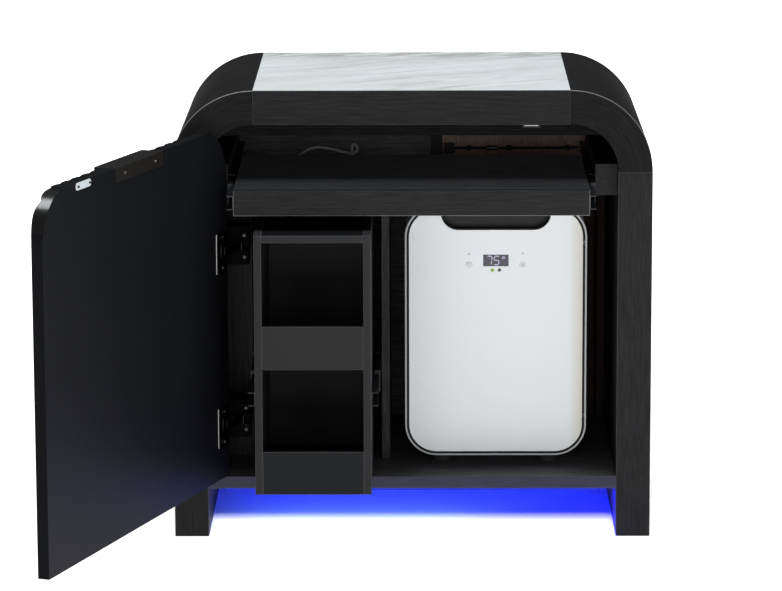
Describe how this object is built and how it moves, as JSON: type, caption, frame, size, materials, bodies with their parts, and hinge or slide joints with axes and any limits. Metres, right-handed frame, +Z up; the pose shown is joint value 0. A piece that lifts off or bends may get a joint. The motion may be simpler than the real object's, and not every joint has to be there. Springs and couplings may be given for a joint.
{
  "type": "refrigerator nightstand",
  "caption": "Arched bedside cabinet with an inset stone top, a fluted hinged door, a pull-out tray, a pull-out rack and a built-in small refrigerator",
  "frame": {"origin": "middle of the cabinet's footprint, on the floor between its two legs", "axes": "+X to the right, +Y to the back, +Z up; the open front with the door faces -Y"},
  "size_m": [0.8453, 0.9559, 0.665],
  "materials": {
    "charcoal_wood": "satin, very dark grey",
    "rack_wood": "satin dark grey",
    "raw_board": "bare, brown",
    "white_stone": "polished, faintly veined",
    "steel": "zinc plated",
    "black_metal": "satin black",
    "black_plastic": "matt black",
    "feet_rubber": "matt dark grey",
    "aluminium": "anodised",
    "led_light": "lit, pale blue",
    "white_plastic": "glossy white",
    "grey_plastic": "satin light grey",
    "clear_plastic": "clear",
    "seal_rubber": "soft, off-white",
    "display_black": "glossy black"
  },
  "bodies": {
    "cabinet": {"left_leg": "charcoal_wood", "right_leg": "charcoal_wood", "left_corner": "charcoal_wood", "right_corner": "charcoal_wood", "front_apron": "charcoal_wood", "back_apron": "charcoal_wood", "top_core": "raw_board", "stone_top": "white_stone", "sub_top_board": "charcoal_wood", "bottom_board": "charcoal_wood", "left_back_panel": "charcoal_wood", "right_back_panel": "raw_board", "back_joint_strip": "black_plastic", "divider": "charcoal_wood", "left_filler": "charcoal_wood", "tray_battens": "charcoal_wood", "hinge_blocks": "black_plastic", "hinge_arms": "steel", "cabinet_screws": "steel", "magnet_catch": "black_plastic", "tray_outer_rails": "steel", "rack_outer_rails": "steel", "led_channel": "aluminium", "led_strip": "led_light", "led_lead": "black_plastic", "lead_connector": "black_plastic", "cable_clips": "black_plastic", "power_inlet": "black_plastic", "fridge_shell": "grey_plastic", "fridge_tub": "white_plastic", "fridge_shelf": "clear_plastic", "fridge_feet": "feet_rubber", "heat_sink": "aluminium", "rear_grille": "black_plastic"},
    "fan": {"fan_rotor": "black_plastic"},
    "links": {"hinge_links": "steel"},
    "door": {"door_panel": "charcoal_wood", "edge_pull": "black_metal", "strike_plate": "steel", "door_screws": "steel", "hinge_cups": "steel"},
    "tray_mid": {"tray_mid_rails": "steel"},
    "tray": {"tray_board": "charcoal_wood", "tray_front_board": "charcoal_wood", "tray_frame": "charcoal_wood", "tray_inner_rails": "steel"},
    "rack_mid": {"rack_mid_rails": "steel"},
    "rack": {"rack_sides": "rack_wood", "rack_boards": "rack_wood", "rack_front_rails": "rack_wood", "rack_inner_rails": "steel"},
    "fridge_door": {"fridge_door_frame": "grey_plastic", "fridge_door_panel": "white_plastic", "fridge_door_liner": "white_plastic", "door_seal": "seal_rubber", "handle_pocket": "black_plastic", "fridge_hinge_pins": "steel", "display_module": "display_black"},
    "left_key": {"left_key": "white_plastic"},
    "right_key": {"right_key": "white_plastic"}
  },
  "joints": [
    {"name": "door_hinge", "type": "hinge", "parent": "links", "child": "door", "pos_m": [-0.27728, -0.20615, 0.29], "axis": [0, 0, 1], "range_deg": [0, 143.6]},
    {"name": "link_turn", "type": "hinge", "parent": "cabinet", "child": "links", "pos_m": [-0.2488, -0.1765, 0.29], "axis": [0, 0, 1], "range_deg": [-33, 0]},
    {"name": "tray_slide", "type": "slide", "parent": "cabinet", "child": "tray", "axis": [0, 1, 0], "range_m": [0, 0.1415]},
    {"name": "tray_mid_slide", "type": "slide", "parent": "cabinet", "child": "tray_mid", "axis": [0, 1, 0], "range_m": [0, 0.071]},
    {"name": "rack_slide", "type": "slide", "parent": "cabinet", "child": "rack", "axis": [0, 1, 0], "range_m": [0, 0.2325]},
    {"name": "rack_mid_slide", "type": "slide", "parent": "cabinet", "child": "rack_mid", "axis": [0, 1, 0], "range_m": [0, 0.1165]},
    {"name": "fridge_door_hinge", "type": "hinge", "parent": "cabinet", "child": "fridge_door", "pos_m": [0.2483, -0.127, 0.2955], "axis": [0, 0, -1], "range_deg": [-100, 0]},
    {"name": "left_key_press", "type": "slide", "parent": "fridge_door", "child": "left_key", "axis": [0, 1, 0], "range_m": [0, 0.0008], "stiffness_N_per_m": 300, "springref_m": -0.0004},
    {"name": "right_key_press", "type": "slide", "parent": "fridge_door", "child": "right_key", "axis": [0, 1, 0], "range_m": [0, 0.0008], "stiffness_N_per_m": 300, "springref_m": -0.0004},
    {"name": "fan_spin", "type": "hinge", "parent": "cabinet", "child": "fan", "pos_m": [0.1238, 0.152, 0.328], "axis": [0, 1, 0], "continuous": true}
  ],
  "couplings": [
    {"joint": "link_turn", "follows": "door_hinge", "ratio": -0.22841},
    {"joint": "tray_slide", "follows": "door_hinge", "m_per_rad": 0.056258},
    {"joint": "tray_mid_slide", "follows": "door_hinge", "m_per_rad": 0.028129},
    {"joint": "rack_slide", "follows": "door_hinge", "m_per_rad": 0.092567},
    {"joint": "rack_mid_slide", "follows": "door_hinge", "m_per_rad": 0.046283}
  ]
}
